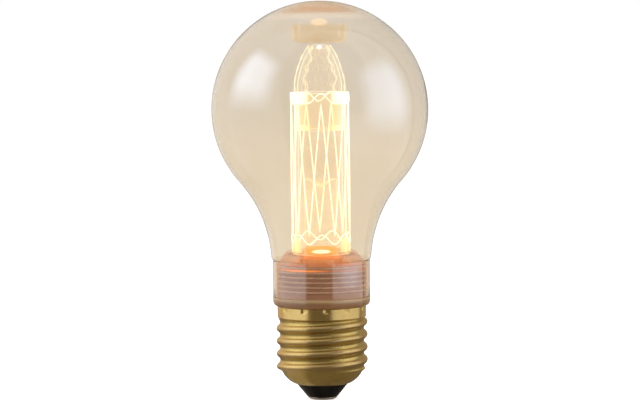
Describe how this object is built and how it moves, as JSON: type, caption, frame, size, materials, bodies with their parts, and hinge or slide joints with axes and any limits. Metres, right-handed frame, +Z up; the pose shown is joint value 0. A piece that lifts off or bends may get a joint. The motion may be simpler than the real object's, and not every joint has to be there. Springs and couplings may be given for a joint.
{
  "type": "led light bulb",
  "caption": "Pear-shaped LED lamp of amber glass on a brass E27 screw cap, with a clear etched light guide standing on a translucent holder inside.",
  "frame": {"origin": "the tip of the centre contact, on the lamp's axis", "axes": "+Z up the lamp's axis from the contact to the top of the globe; -Y towards the picture's camera; +X to its right"},
  "size_m": [0.0618, 0.0618, 0.1143],
  "materials": {
    "amber_glass": "clear blown glass, amber tinted, glossy",
    "clear_glue": "cured clear adhesive",
    "rose_plastic": "translucent rose-brown moulded plastic",
    "clear_acrylic": "clear polished acrylic",
    "white_ceramic": "matt white",
    "lit_phosphor": "lit phosphor and the light of the etched lines",
    "white_board": "white solder mask on aluminium",
    "zinc_steel": "bright zinc",
    "bare_aluminium": "drawn, bare",
    "aged_brass": "satin brass, lightly tarnished",
    "black_glass": "glossy black glass insulator",
    "nickel_contact": "nickel-plated brass",
    "green_board": "green solder mask on glass-fibre laminate",
    "dark_sleeve": "shrink sleeve over an aluminium can",
    "red_epoxy": "dipped epoxy",
    "ferrite": "dull ferrite",
    "copper_wire": "enamelled copper wire",
    "black_epoxy": "moulded epoxy",
    "blue_lacquer": "lacquer over ceramic",
    "red_insulation": "wire insulation",
    "tinned_wire": "bare tinned copper"
  },
  "bodies": {
    "root": {"glass_envelope": "amber_glass", "glue_rings": "clear_glue", "holder": "rose_plastic", "guide_tube": "clear_acrylic", "guide_crown": "clear_acrylic", "light_pipe": "clear_acrylic", "led_base": "white_ceramic", "led_phosphor": "lit_phosphor", "led_board": "white_board", "board_screws": "zinc_steel", "heat_spreader": "bare_aluminium", "screw_shell": "aged_brass", "insulator": "black_glass", "contact_plate": "nickel_contact", "contact_pin": "nickel_contact", "driver_board": "green_board", "can_capacitor": "dark_sleeve", "film_capacitor": "red_epoxy", "choke_core": "ferrite", "choke_winding": "copper_wire", "bridge_rectifier": "black_epoxy", "driver_chip": "black_epoxy", "sense_resistors": "black_epoxy", "fusing_resistor": "blue_lacquer", "live_wire": "red_insulation", "neutral_wire": "tinned_wire", "led_wires": "red_insulation"}
  },
  "joints": []
}
